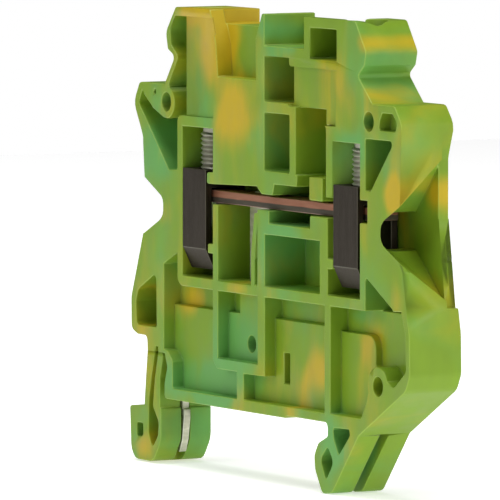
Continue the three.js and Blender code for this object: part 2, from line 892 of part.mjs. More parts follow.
function buildBar() {
  const bar = block(left(4.2), right(4.05), barFront, barBack, barBottom, barTop);
  const mortise = block(
    tenonX - tenonHalf - tenonGap,
    tenonX + tenonHalf + tenonGap,
    plateFront - tenonGap,
    plateBack + tenonGap,
    barBottom - 1,
    barTop + 1,
  );
  return bar.subtract(mortise);
}

function buildPlate() {
  const plateTop = deckHeight - 3;
  return slab([
    [-railStop, 0.15],
    [-railStop + toothReach + 0.05, 0.15],
    [-railStop + toothReach + 0.1, 0],
    [railStop - toothReach - 0.1, 0],
    [railStop - toothReach - 0.05, 0.15],
    [railStop + 0.1, 0.15],
    [railStop + 0.1, -lipGap - 0.1],
    [railStop - toothReach + 0.1, -lipGap - 0.25, 0.2],
    [railStop - toothReach, -lipGap - 1.3, 0.4],
    [railStop - 0.6, -footDrop + 2.3, 0.6],
    [railStop + 0.2, -footDrop + 2, 0.4],
    [railStop + 3.2, -1.5, 0.8],
    [railStop + 3.9, 4.7, 0.5],
    [railStop - 3.6, plateTop, 0.5],
    [neckRight, plateTop, 0.3],
    [neckRight, barBottom],
    [tenonX + tenonHalf, barBottom],
    [tenonX + tenonHalf, barTop + 0.15],
    [tenonX - tenonHalf, barTop + 0.15],
    [tenonX - tenonHalf, barBottom],
    [neckLeft, barBottom],
    [neckLeft, plateTop, 0.3],
    [-13, plateTop, 0.5],
    [-14.3, 3.6, 0.5],
    [-railStop - 0.8, 2.7, 0.5],
    [-railStop - 1.75, -0.2, 0.5],
    [-railStop - 1.75, -footDrop + 2, 0.8],
    [-railStop - 0.8, -footDrop + 0.7, 0.3],
    [-railStop - 0.1, -footDrop + 2.4, 1],
    [-railStop + toothReach, -lipGap - 1, 0.3],
    [-railStop + toothReach - 0.05, -lipGap - 0.15, 0.1],
    [-railStop, -lipGap - 0.05],
  ], plateFront, plateBack);
}

// ---------------------------------------------------------------------------
// Assembly
// ---------------------------------------------------------------------------

const terminal = new THREE.Group();
terminal.add(mesh('housing', buildHousing(), plastic));
terminal.add(mesh('release_foot', buildFoot(), footPlastic));
terminal.add(mesh('clamp_cage_left', buildCage(leftAxis), steel));
terminal.add(mesh('clamp_cage_right', buildCage(rightAxis), steel));
terminal.add(mesh('clamp_screw_left', buildScrew(leftAxis), zinc));
terminal.add(mesh('clamp_screw_right', buildScrew(rightAxis), zinc));
terminal.add(mesh('current_bar', buildBar(), copper));
terminal.add(mesh('rail_plate', buildPlate(), tin));

export default terminal;
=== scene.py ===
import math

import bmesh
import bpy
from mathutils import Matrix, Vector
from mathutils.geometry import intersect_line_line_2d, intersect_point_line


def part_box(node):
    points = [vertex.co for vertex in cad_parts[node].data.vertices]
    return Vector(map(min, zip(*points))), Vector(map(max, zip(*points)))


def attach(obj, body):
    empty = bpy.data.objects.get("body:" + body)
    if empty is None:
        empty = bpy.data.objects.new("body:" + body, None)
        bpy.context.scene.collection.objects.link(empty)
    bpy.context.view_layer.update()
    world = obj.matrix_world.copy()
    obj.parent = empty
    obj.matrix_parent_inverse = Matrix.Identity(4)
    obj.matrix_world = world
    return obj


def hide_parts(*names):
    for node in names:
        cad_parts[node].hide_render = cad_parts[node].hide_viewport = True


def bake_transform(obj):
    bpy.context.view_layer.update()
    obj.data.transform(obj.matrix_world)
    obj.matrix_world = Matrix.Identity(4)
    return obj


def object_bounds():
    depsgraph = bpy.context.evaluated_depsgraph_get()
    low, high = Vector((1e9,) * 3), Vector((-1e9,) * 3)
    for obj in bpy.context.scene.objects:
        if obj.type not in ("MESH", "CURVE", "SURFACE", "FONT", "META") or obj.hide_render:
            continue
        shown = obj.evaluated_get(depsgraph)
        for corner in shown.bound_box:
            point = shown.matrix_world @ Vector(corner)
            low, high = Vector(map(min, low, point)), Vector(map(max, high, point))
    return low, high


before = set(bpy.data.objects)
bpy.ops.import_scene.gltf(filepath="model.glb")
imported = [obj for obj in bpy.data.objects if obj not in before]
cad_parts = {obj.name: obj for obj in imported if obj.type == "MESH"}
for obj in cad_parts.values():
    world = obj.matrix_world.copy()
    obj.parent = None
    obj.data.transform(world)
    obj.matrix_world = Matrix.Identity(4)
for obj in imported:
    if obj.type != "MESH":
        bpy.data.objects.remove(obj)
cad_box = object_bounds()

# All lengths are in metres: +X across the rail towards the hooked foot, +Y towards the closed side,
# +Z away from the rail.
MM = 0.001

CAMERA_AT = (753.04 * MM, -424.57 * MM, 79.21 * MM)
CAMERA_AIM = (-3.756 * MM, -0.05 * MM, 16.40 * MM)
LENS = 602.64
SENSOR = 36.0

LEG_TOP = 4.5 * MM
LEG_ROOT = 4.82 * MM
LEG_TOLERANCE = 0.05 * MM
LEG_SIDE = -16.2 * MM         # the legs lie to the left of this
LEG_CUTS = [(0.3 + 0.45 * i) * MM for i in range(10)]

THREAD_RADIUS = 1.5 * MM
THREAD_ROOT = 1.22 * MM
THREAD_PITCH = 0.5 * MM
THREAD_LENGTH = 5.5 * MM
THREAD_SINK = 0.02 * MM      # how far the ridge's middle line stands off the root
THREAD_RIDGE = 0.24 * MM     # half the height of the ridge's section
THREAD_END = 6.0 * MM        # top of the thread, from the screw's tip
TIP_CHAMFER = 0.3 * MM
HEAD_HEIGHT = 2.2 * MM
HEAD_ROUND = 0.25 * MM
HEAD_CHAMFER = 0.08 * MM
SLOT_WIDTH = 0.7 * MM
SLOT_DEPTH = 1.1 * MM

EASE_PLASTIC = 0.13 * MM
EASE_STEEL = 0.1 * MM
EASE_PLATE = 0.08 * MM
SHARP_ANGLE = math.radians(25)
FLAT_ANGLE = math.radians(1)
CREASE_ANGLE = math.radians(32)
FOLD_ROUNDS = 12
EASE_SEGMENTS = 2
NARROWEST_EASE = 0.12        # as a share of the full width
MERGE_DISTANCE = 1e-7
CUT_DISTANCE = 1e-6


# ---------------------------------------------------------------- shader helpers

def group_tree(name, inputs, outputs):
    """A shader node group with named sockets: inputs are (label, type, value), outputs are (label, type)."""
    tree = bpy.data.node_groups.new(name, "ShaderNodeTree")
    for label, kind, value in inputs:
        socket = tree.interface.new_socket(label, in_out="INPUT", socket_type=kind)
        socket.default_value = value
    for label, kind in outputs:
        tree.interface.new_socket(label, in_out="OUTPUT", socket_type=kind)
    return tree, tree.nodes.new("NodeGroupInput"), tree.nodes.new("NodeGroupOutput")


def feed(tree, socket, value):
    """Links a socket, or sets it where value is a number, vector or colour."""
    if isinstance(value, bpy.types.NodeSocket):
        tree.links.new(value, socket)
    else:
        socket.default_value = value


def sums(tree, operation, a, b=0.0):
    """A Math node on two numbers."""
    node = tree.nodes.new("ShaderNodeMath")
    node.operation = operation
    feed(tree, node.inputs[0], a)
    feed(tree, node.inputs[1], b)
    return node.outputs[0]


def vectors(tree, operation, a, b=(0, 0, 0), scale=None):
    """A Vector Math node on two vectors, or on a vector and a scale."""
    node = tree.nodes.new("ShaderNodeVectorMath")
    node.operation = operation
    feed(tree, node.inputs[0], a)
    if scale is not None:
        feed(tree, node.inputs["Scale"], scale)
    else:
        feed(tree, node.inputs[1], b)
    return node.outputs["Value" if operation == "DISTANCE" else "Vector"]


def noise(tree, where, scale, detail=2.0, roughness=0.5, output="Fac"):
    node = tree.nodes.new("ShaderNodeTexNoise")
    feed(tree, node.inputs["Vector"], where)
    feed(tree, node.inputs["Scale"], scale)
    node.inputs["Detail"].default_value = detail
    node.inputs["Roughness"].default_value = roughness
    return node.outputs[output]


def ramped(tree, value, low, high, to_low=0.0, to_high=1.0):
    """A smooth step from to_low to to_high as value goes from low to high."""
    node = tree.nodes.new("ShaderNodeMapRange")
    node.interpolation_type = "SMOOTHSTEP"
    feed(tree, node.inputs["Value"], value)
    feed(tree, node.inputs["From Min"], low)
    feed(tree, node.inputs["From Max"], high)
    feed(tree, node.inputs["To Min"], to_low)
    feed(tree, node.inputs["To Max"], to_high)
    return node.outputs["Result"]


def blended(tree, share, a, b, kind="MIX"):
    node = tree.nodes.new("ShaderNodeMix")
    node.data_type = "RGBA"
    node.blend_type = kind
    feed(tree, node.inputs["Factor"], share)
    colour_a, colour_b = [socket for socket in node.inputs if socket.type == "RGBA"]
    feed(tree, colour_a, a)
    feed(tree, colour_b, b)
    return next(socket for socket in node.outputs if socket.type == "RGBA")


def sized(tree, where, stretch):
    """Object coordinates in millimetres, stretched along the axes."""
    return vectors(tree, "MULTIPLY", where, tuple(s / MM for s in stretch))


# ---------------------------------------------------------------- shared shader groups

def build_marbling():
    """Two-colour plastic mixed in the mould: green with yellow and blue-green running through it."""
    tree, given, result = group_tree(
        "marbled_resin",
        [
            ("Where", "NodeSocketVector", (0, 0, 0)),
            ("Yellow bias", "NodeSocketFloat", 0.0),
            ("Teal bias", "NodeSocketFloat", 0.0),
            ("Leaf green", "NodeSocketColor", (0, 0, 0, 1)),
            ("Teal green", "NodeSocketColor", (0, 0, 0, 1)),
            ("Yellow", "NodeSocketColor", (0, 0, 0, 1)),
        ],
        [("Colour", "NodeSocketColor")],
    )
    where = given.outputs["Where"]
    base = sized(tree, where, (1.0, 0.55, 0.6))
    swirl = noise(tree, base, 0.13, 2.0, 0.5, "Color")
    swirl = vectors(tree, "SUBTRACT", swirl, (0.5, 0.5, 0.5))
    swirl = vectors(tree, "SCALE", swirl, scale=7.0)
    bent = vectors(tree, "ADD", base, swirl)
    wide = noise(tree, bent, 0.13, 2.0, 0.45)
    shifted = vectors(tree, "ADD", bent, (31.0, 17.0, 5.0))
    second = noise(tree, shifted, 0.15, 2.0, 0.45)
    streak = noise(tree, vectors(tree, "MULTIPLY", bent, (1.6, 1.0, 0.35)), 0.7, 3.0, 0.6)
    lean = sums(tree, "SUBTRACT", streak, 0.5)
    yellow = sums(tree, "ADD", wide, given.outputs["Yellow bias"])
    yellow = sums(tree, "ADD", yellow, sums(tree, "MULTIPLY", lean, 0.12))
    yellow = ramped(tree, yellow, 0.50, 0.86)
    teal = sums(tree, "ADD", second, given.outputs["Teal bias"])
    teal = sums(tree, "ADD", teal, sums(tree, "MULTIPLY", lean, -0.1))
    teal = ramped(tree, teal, 0.48, 0.82)
    colour = blended(tree, teal, given.outputs["Leaf green"], given.outputs["Teal green"])
    colour = blended(tree, yellow, colour, given.outputs["Yellow"])
    tree.links.new(colour, result.inputs["Colour"])
    return tree


def build_pool():
    """A soft round patch, where one colour of resin has pooled."""
    tree, given, result = group_tree(
        "resin_pool",
        [
            ("Where", "NodeSocketVector", (0, 0, 0)),
            ("Centre", "NodeSocketVector", (0, 0, 0)),
            ("Spread", "NodeSocketVector", (1, 1, 1)),
            ("Strength", "NodeSocketFloat", 1.0),
            ("Before", "NodeSocketFloat", 0.0),
        ],
        [("Bias", "NodeSocketFloat")],
    )
    away = vectors(tree, "SUBTRACT", given.outputs["Where"], given.outputs["Centre"])
    away = vectors(tree, "DIVIDE", away, given.outputs["Spread"])
    distance = vectors(tree, "DISTANCE", away)
    inside = ramped(tree, distance, 1.0, 0.0)
    here = sums(tree, "MULTIPLY", inside, given.outputs["Strength"])
    tree.links.new(sums(tree, "ADD", given.outputs["Before"], here), result.inputs["Bias"])
    return tree


def build_grain():
    """The fine unevenness of a moulded or rolled surface, as a height and a mask."""
    tree, given, result = group_tree(
        "surface_grain",
        [
            ("Where", "NodeSocketVector", (0, 0, 0)),
            ("Stretch", "NodeSocketVector", (1, 1, 1)),
            ("Fine", "NodeSocketFloat", 6.0),
            ("Broad", "NodeSocketFloat", 0.5),
            ("Broad share", "NodeSocketFloat", 0.5),
        ],
        [("Height", "NodeSocketFloat"), ("Mottle", "NodeSocketFloat")],
    )
    base = vectors(tree, "SCALE", given.outputs["Where"], scale=1 / MM)
    base = vectors(tree, "MULTIPLY", base, given.outputs["Stretch"])
    fine = noise(tree, base, given.outputs["Fine"], 3.0, 0.6)
    broad = noise(tree, base, given.outputs["Broad"], 2.0, 0.5)
    height = sums(tree, "ADD", fine, sums(tree, "MULTIPLY", broad, given.outputs["Broad share"]))
    tree.links.new(height, result.inputs["Height"])
    tree.links.new(broad, result.inputs["Mottle"])
    return tree


def build_edge_wear_highlight_and_fold_shade():
    """Where an eased edge shows lighter, as wear and as a painted highlight, and a fold shows darker, as
    painted shade. It reads the ease attribute of a mesh.
    """
    tree, given, result = group_tree(
        "eased_edges",
        [
            ("Ease", "NodeSocketFloat", 0.0),
            ("Colour", "NodeSocketColor", (0, 0, 0, 1)),
            ("Light colour", "NodeSocketColor", (1, 1, 1, 1)),
            ("Light share", "NodeSocketFloat", 0.3),
            ("Dark share", "NodeSocketFloat", 0.3),
            ("Roughness", "NodeSocketFloat", 0.4),
            ("Roughness change", "NodeSocketFloat", -0.1),
        ],
        [("Colour", "NodeSocketColor"), ("Roughness", "NodeSocketFloat")],
    )
    out = sums(tree, "MAXIMUM", given.outputs["Ease"], 0.0)
    into = sums(tree, "MAXIMUM", sums(tree, "MULTIPLY", given.outputs["Ease"], -1.0), 0.0)
    # outer edges are lightened: partly wear, partly a painted highlight
    light = sums(tree, "MULTIPLY", out, given.outputs["Light share"])
    dark = sums(tree, "MULTIPLY", into, given.outputs["Dark share"])
    colour = blended(tree, light, given.outputs["Colour"], given.outputs["Light colour"])
    # painted shade: the colour is made darker in the folds
    painted_fold_shade = blended(tree, 1.0, colour, (0.35, 0.4, 0.3, 1), "MULTIPLY")
    colour = blended(tree, dark, colour, painted_fold_shade)
    change = sums(tree, "MULTIPLY", out, given.outputs["Roughness change"])
    tree.links.new(colour, result.inputs["Colour"])
    tree.links.new(sums(tree, "ADD", given.outputs["Roughness"], change), result.inputs["Roughness"])
    return tree


MARBLING = build_marbling()
POOL = build_pool()
GRAIN = build_grain()
EDGES = build_edge_wear_highlight_and_fold_shade()


def placed(tree, group, **values):
    """A shared group in a material, with its own values. Labels use _ for a space."""
    node = tree.nodes.new("ShaderNodeGroup")
    node.node_tree = group
    for label, value in values.items():
        feed(tree, node.inputs[label.replace("_", " ")], value)
    return node


def material(name, metallic, roughness, specular=0.5):
    """A new material, with its tree, its shader, object coordinates and the ease attribute."""
    made = bpy.data.materials.new(name)
    made.use_nodes = True
    tree = made.node_tree
    shader = tree.nodes["Principled BSDF"]
    shader.inputs["Metallic"].default_value = metallic
    shader.inputs["Roughness"].default_value = roughness
    shader.inputs["Specular IOR Level"].default_value = specular
    where = tree.nodes.new("ShaderNodeTexCoord").outputs["Object"]
    ease = tree.nodes.new("ShaderNodeAttribute")
    ease.attribute_name = "ease"
    return made, tree, shader, where, ease.outputs["Fac"]


def finished(tree, shader, wear_and_painted_light, height, strength, distance):
    """Joins an eased_edges group and a bump to the shader."""
    tree.links.new(wear_and_painted_light.outputs["Colour"], shader.inputs["Base Color"])
    tree.links.new(wear_and_painted_light.outputs["Roughness"], shader.inputs["Roughness"])
    bump = tree.nodes.new("ShaderNodeBump")
    bump.inputs["Strength"].default_value = strength
    bump.inputs["Distance"].default_value = distance
    tree.links.new(height, bump.inputs["Height"])
    tree.links.new(bump.outputs["Normal"], shader.inputs["Normal"])


# ---------------------------------------------------------------- materials

LEAF_GREEN = (0.185, 0.31, 0.016, 1)
TEAL_GREEN = (0.125, 0.35, 0.075, 1)
RESIN_YELLOW = (0.5, 0.36, 0.01, 1)

# Where yellow or blue-green pooled as the mould filled: x, z, spread in x, spread in z, strength.
YELLOW_POOLS = [
    (-6.0, 38.0, 5.0, 6.5, 0.45),
    (-2.2, 31.6, 6.0, 6.0, 0.42),
    (-10.1, 40.9, 5.0, 2.0, 0.3),
    (25.2, 39.3, 3.0, 2.0, 0.35),
    (30.9, 24.2, 3.0, 3.0, 0.45),
    (-16.7, 19.7, 3.0, 3.0, 0.25),
    (-13.8, 10.6, 4.0, 2.5, 0.25),
    (-1.2, 12.7, 4.0, 1.4, 0.25),
    (13.8, 5.1, 3.5, 3.5, 0.25),
    (27.8, 34.8, 4.0, 2.0, 0.25),
    (31.0, 13.6, 3.0, 4.0, 0.2),
]
TEAL_POOLS = [
    (-9.1, 2.0, 15.0, 4.0, 0.45),
    (-2.9, 7.1, 8.0, 6.0, 0.35),
    (-17.8, 25.6, 5.0, 4.0, 0.35),
    (-15.7, 27.2, 3.5, 3.0, 0.25),
    (0.7, 37.0, 1.6, 4.5, 0.2),
    (10.4, 38.5, 3.5, 2.2, 0.3),
    (4.5, 39.6, 1.8, 1.4, 0.15),
    (22.0, 27.7, 4.5, 4.0, 0.35),
    (9.8, 18.3, 5.0, 4.0, 0.25),
    (19.2, -2.4, 5.0, 5.0, 0.4),
    (20.2, 11.4, 4.0, 2.0, 0.3),
]
FOOT_YELLOW_POOLS = [(-22.0, -5.5, 4.0, 2.5, 0.25)]
FOOT_TEAL_POOLS = [(-17.8, -3.0, 6.0, 8.0, 0.15)]


def resin(name, yellow_pools, teal_pools):
    """Marbled plastic, with its own pools of yellow and blue-green."""
    made, tree, shader, where, ease = material(name, 0.0, 0.45, 0.3)
    biases = []
    for pools in (yellow_pools, teal_pools):
        bias = 0.0
        for x, z, wide, tall, strength in pools:
            bias = placed(
                tree, POOL, Where=where, Centre=(x * MM, 0, z * MM),
                Spread=(wide * MM, 0.1, tall * MM), Strength=strength, Before=bias,
            ).outputs["Bias"]
        biases.append(bias)
    marble = placed(
        tree, MARBLING, Where=where, Yellow_bias=biases[0], Teal_bias=biases[1],
        Leaf_green=LEAF_GREEN, Teal_green=TEAL_GREEN, Yellow=RESIN_YELLOW,
    )
    grain = placed(tree, GRAIN, Where=where, Stretch=(1, 1, 0.6), Fine=5.0, Broad=0.45, Broad_share=1.6)
    mottled = blended(tree, 0.12, marble.outputs["Colour"], grain.outputs["Mottle"], "OVERLAY")
    rough = ramped(tree, grain.outputs["Mottle"], 0.3, 0.7, 0.42, 0.54)
    # eased edges lighter, as wear and a painted highlight; folds darker, as painted shade
    wear_and_painted_light = placed(
        tree, EDGES, Ease=ease, Colour=mottled, Light_colour=(0.36, 0.5, 0.09, 1),
        Light_share=0.5, Dark_share=0.4, Roughness=rough, Roughness_change=-0.08,
    )
    finished(tree, shader, wear_and_painted_light, grain.outputs["Height"], 0.25, 0.03 * MM)
    return made


def metal(name, colour, second, metallic, roughness, stretch, fine, light, bump, light_share=0.5,
          specular=0.5):
    """Rolled or plated metal: fine lines, broad tarnish in a second colour, and eased edges lighter, as wear
    and as a painted highlight, with folds darker as painted shade.
    """
    made, tree, shader, where, ease = material(name, metallic, roughness, specular)
    grain = placed(tree, GRAIN, Where=where, Stretch=stretch, Fine=fine, Broad=0.6, Broad_share=0.8)
    tarnish = ramped(tree, grain.outputs["Mottle"], 0.35, 0.65)
    mixed = blended(tree, tarnish, colour, second)
    rough = ramped(tree, grain.outputs["Height"], 0.5, 1.3, roughness - 0.08, roughness + 0.1)
    # eased edges lighter, as wear and a painted highlight; folds darker, as painted shade
    wear_and_painted_light = placed(
        tree, EDGES, Ease=ease, Colour=mixed, Light_colour=light, Light_share=light_share,
        Dark_share=0.4, Roughness=rough, Roughness_change=-0.05,
    )
    finished(tree, shader, wear_and_painted_light, grain.outputs["Height"], bump, 0.02 * MM)
    return made


housing_resin = resin("marbled_housing_resin", YELLOW_POOLS, TEAL_POOLS)
foot_resin = resin("marbled_foot_resin", FOOT_YELLOW_POOLS, FOOT_TEAL_POOLS)
# Near-black steel: its colour is painted shade, as dark as the cage shows at the back of its deep bore.
cage_steel = metal(
    "shade_dark_cage_steel", (0.035, 0.027, 0.017, 1), (0.05, 0.041, 0.03, 1), 0.85, 0.5,
    (3.0, 3.0, 0.4), 6.0, (0.2, 0.19, 0.15, 1), 0.3, 0.5, 0.25,
)
screw_steel = metal(
    "plated_screw_steel", (0.5, 0.49, 0.4, 1), (0.34, 0.33, 0.26, 1), 0.8, 0.36,
    (1.0, 1.0, 3.0), 5.0, (0.8, 0.79, 0.72, 1), 0.2, 0.8,
)
plate_tin = metal(
    "tinned_rail_plate", (0.66, 0.64, 0.52, 1), (0.5, 0.49, 0.38, 1), 0.85, 0.35,
    (1.0, 1.0, 3.0), 4.0, (0.9, 0.88, 0.86, 1), 0.2,
)


def rolled_copper():
    """Copper that is bright in the upper part of the bar and dark below a line that wanders part way up."""
    made, tree, shader, where, ease = material("rolled_bar_copper", 0.75, 0.45)
    grain = placed(tree, GRAIN, Where=where, Stretch=(0.35, 3.0, 3.0), Fine=6.0, Broad=0.9, Broad_share=1.0)
    height = tree.nodes.new("ShaderNodeSeparateXYZ")
    tree.links.new(where, height.inputs[0])
    low, high = (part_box("current_bar")[i].z for i in (0, 1))
    middle = low + (high - low) * 0.45
    wander = sums(tree, "MULTIPLY", sums(tree, "SUBTRACT", grain.outputs["Mottle"], 0.5), 0.12 * MM)
    level = sums(tree, "ADD", height.outputs["Z"], wander)
    bright = ramped(tree, level, middle - 0.05 * MM, middle + 0.05 * MM)
    # brighter tones above the line, darker tones below it
    upper_tone = blended(tree, grain.outputs["Mottle"], (0.28, 0.1, 0.05, 1), (0.42, 0.2, 0.12, 1))
    lower_tone = blended(tree, grain.outputs["Mottle"], (0.045, 0.035, 0.022, 1), (0.1, 0.085, 0.055, 1))
    mixed = blended(tree, bright, lower_tone, upper_tone)
    # eased edges lighter, as wear and a painted highlight; folds darker, as painted shade
    wear_and_painted_light = placed(
        tree, EDGES, Ease=ease, Colour=mixed, Light_colour=(0.75, 0.42, 0.32, 1),
        Light_share=0.4, Dark_share=0.3, Roughness=0.45, Roughness_change=-0.1,
    )
    finished(tree, shader, wear_and_painted_light, grain.outputs["Height"], 0.4, 0.03 * MM)
    return made


bar_copper = rolled_copper()


# ---------------------------------------------------------------- mesh helpers

def settled(obj):
    """obj's modifiers turned into a plain mesh."""
    graph = bpy.context.evaluated_depsgraph_get()
    mesh = bpy.data.meshes.new_from_object(obj.evaluated_get(graph), depsgraph=graph)
    obj.modifiers.clear()
    obj.data = mesh
    return obj


def linked(name, mesh):
    obj = bpy.data.objects.new(name, mesh)
    bpy.context.scene.collection.objects.link(obj)
    return obj


def is_sharp(edge):
    return len(edge.link_faces) == 2 and edge.calc_face_angle(0.0) > SHARP_ANGLE


def room_beside(loop):
    """How wide an edge can be eased into one of its faces before the ends of the ease meet."""
    spare = 0.9
    edge = loop.edge
    length = edge.calc_length()
    shrink = 0.0
    room = 0.8 * loop.face.calc_area() / sum(e.calc_length() for e in loop.face.edges)
    for corner, beside in ((loop, loop.link_loop_prev), (loop.link_loop_next, loop.link_loop_next)):
        angle = corner.calc_angle()
        other = beside.edge
        if not corner.is_convex or angle > math.pi - 0.01:
            continue
        if is_sharp(other):
            shrink += 1 / math.tan(angle / 2)
        else:
            shrink += max(0.0, 1 / math.tan(angle))
            room = min(room, spare * other.calc_length() * math.sin(angle))
    if shrink > 0:
        room = min(room, spare * length / shrink)
    return room


def eased(node, name, width, kept_sharp=None, change=None):
    """A copy of a CAD node's mesh with its sharp edges rounded over, and an attribute that marks the rounds:
    1 on the crest of an outer edge, -1 in the bottom of an inner one. An edge stays sharp where its round
    would fold a face over itself."""
    folds = []
    for attempt in range(FOLD_ROUNDS):
        obj = rounded_copy(node, name, width, kept_sharp, change, folds)
        found = folded_places(obj.data)
        if not found:
            break
        folds += [(place, (2 + attempt) * width) for place in found]
        bpy.data.objects.remove(obj)
    else:
        obj = rounded_copy(node, name, width, lambda edge: True, change, folds)
    mark_rounds(obj.data)
    return obj


def rounded_copy(node, name, width, kept_sharp, change, folds):
    """One try at an eased copy, which spares the edges within reach of each place in folds."""
    made = bmesh.new()
    made.from_mesh(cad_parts[node].data)
    bmesh.ops.remove_doubles(made, verts=made.verts, dist=MERGE_DISTANCE)
    if change:
        change(made)
    bmesh.ops.dissolve_limit(made, angle_limit=FLAT_ANGLE, verts=made.verts, edges=made.edges)
    weight = made.edges.layers.float.new("bevel_weight_edge")
    for edge in made.edges:
        if not is_sharp(edge) or (kept_sharp and kept_sharp(edge)):
            continue
        room = min(room_beside(loop) for loop in edge.link_loops)
        if room < NARROWEST_EASE * width or any(gap_to(edge, place) < reach for place, reach in folds):
            continue
        edge[weight] = 1.0
    mesh = bpy.data.meshes.new(name)
    made.to_mesh(mesh)
    made.free()
    obj = linked(name, mesh)
    rounding = obj.modifiers.new("ease", "BEVEL")
    rounding.limit_method = "WEIGHT"
    rounding.width = width
    rounding.segments = EASE_SEGMENTS
    rounding.use_clamp_overlap = False
    rounding.material = 1
    mesh.materials.append(None)    # faces
    mesh.materials.append(None)    # rounds, marked by the bevel
    return settled(obj)


def gap_to(edge, place):
    """How far a place is from an edge."""
    start, end = (vert.co for vert in edge.verts)
    along, share = intersect_point_line(place, start, end)
    if share < 0:
        along = start
    elif share > 1:
        along = end
    return (place - along).length


def folded_places(mesh):
    """Where the outline of a face crosses itself."""
    made = bmesh.new()
    made.from_mesh(mesh)
    made.normal_update()
    places = []
    for face in made.faces:
        if len(face.verts) < 6:
            continue
        origin = face.verts[0].co.copy()
        across = face.normal.orthogonal().normalized()
        up = face.normal.cross(across)
        points = [Vector(((v.co - origin).dot(across), (v.co - origin).dot(up))) / MM for v in face.verts]
        count = len(points)
        for i in range(count):
            ends = {face.verts[i], face.verts[(i + 1) % count]}
            for j in range(i + 2, count):
                if face.verts[j] in ends or face.verts[(j + 1) % count] in ends:
                    continue
                cross = intersect_line_line_2d(
                    points[i], points[(i + 1) % count], points[j], points[(j + 1) % count],
                )
                if cross:
                    places.append(origin + (across * cross.x + up * cross.y) * MM)
    made.free()
    return places


def mark_rounds(mesh):
    """Writes the ease attribute from the faces that the rounding made, then smooths the shading."""
    made = bmesh.new()
    made.from_mesh(mesh)
    made.normal_update()
    ease = made.verts.layers.float.new("ease")
    for vert in made.verts:
        if vert.link_faces and all(face.material_index == 1 for face in vert.link_faces):
            bends = sum(e.calc_face_angle_signed(0.0) for e in vert.link_edges if len(e.link_faces) == 2)
            vert[ease] = 1.0 if bends > 0 else -1.0
    for face in made.faces:
        face.material_index = 0
        face.smooth = True
    made.to_mesh(mesh)
    made.free()


def dressed(obj, paint, body, node):
    """Gives a finished piece its material and its body, and hides the CAD node it stands for.
    A mesh that brings normals of its own keeps them."""
    obj.data.materials.clear()
    obj.data.materials.append(paint)
    if not obj.data.has_custom_normals:
        obj.data.shade_smooth()
        obj.data.set_sharp_from_angle(angle=CREASE_ANGLE)
    flat = obj.modifiers.new("flat", "WEIGHTED_NORMAL")
    flat.keep_sharp = True
    settled(obj)
    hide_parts(node)
    if body:
        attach(obj, body)


# ---------------------------------------------------------------- moulded pieces

def beside_leg_root(edge):
    """Edges around the cut at the top of the foot's legs, where the legs run on into the housing."""
    return all(
        LEG_TOP - LEG_TOLERANCE < v.co.z < LEG_ROOT + LEG_TOLERANCE and v.co.x < LEG_SIDE
        for v in edge.verts
    )


housing = eased("housing", "housing_shell", EASE_PLASTIC, beside_leg_root)
dressed(housing, housing_resin, "block", "housing")


def grow_legs(made):
    """Runs the foot's two legs up into the housing."""
    for vert in made.verts:
        if vert.co.z > LEG_TOP - LEG_TOLERANCE:
            vert.co.z = LEG_ROOT


def cut_legs(obj, levels):
    """Cuts a mesh across at each level."""
    made = bmesh.new()
    made.from_mesh(obj.data)
    for level in levels:
        bmesh.ops.bisect_plane(
            made, geom=made.verts[:] + made.edges[:] + made.faces[:],
            plane_co=(0, 0, level), plane_no=(0, 0, 1), dist=CUT_DISTANCE,
        )
    made.to_mesh(obj.data)
    made.free()


foot = eased("release_foot", "release_foot_moulding", EASE_PLASTIC, beside_leg_root, grow_legs)
cut_legs(foot, LEG_CUTS)
dressed(foot, foot_resin, None, "release_foot")
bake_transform(foot)


# ---------------------------------------------------------------- metal pieces

SIDES = ("left", "right")

for side in SIDES:
    cage = eased(f"clamp_cage_{side}", f"clamp_cage_{side}_bent", EASE_STEEL)
    dressed(cage, cage_steel, f"cage_{side}", f"clamp_cage_{side}")

bar = eased("current_bar", "current_bar_rolled", EASE_STEEL)
dressed(bar, bar_copper, "block", "current_bar")

plate = eased("rail_plate", "rail_plate_stamped", EASE_PLATE)
dressed(plate, plate_tin, "block", "rail_plate")


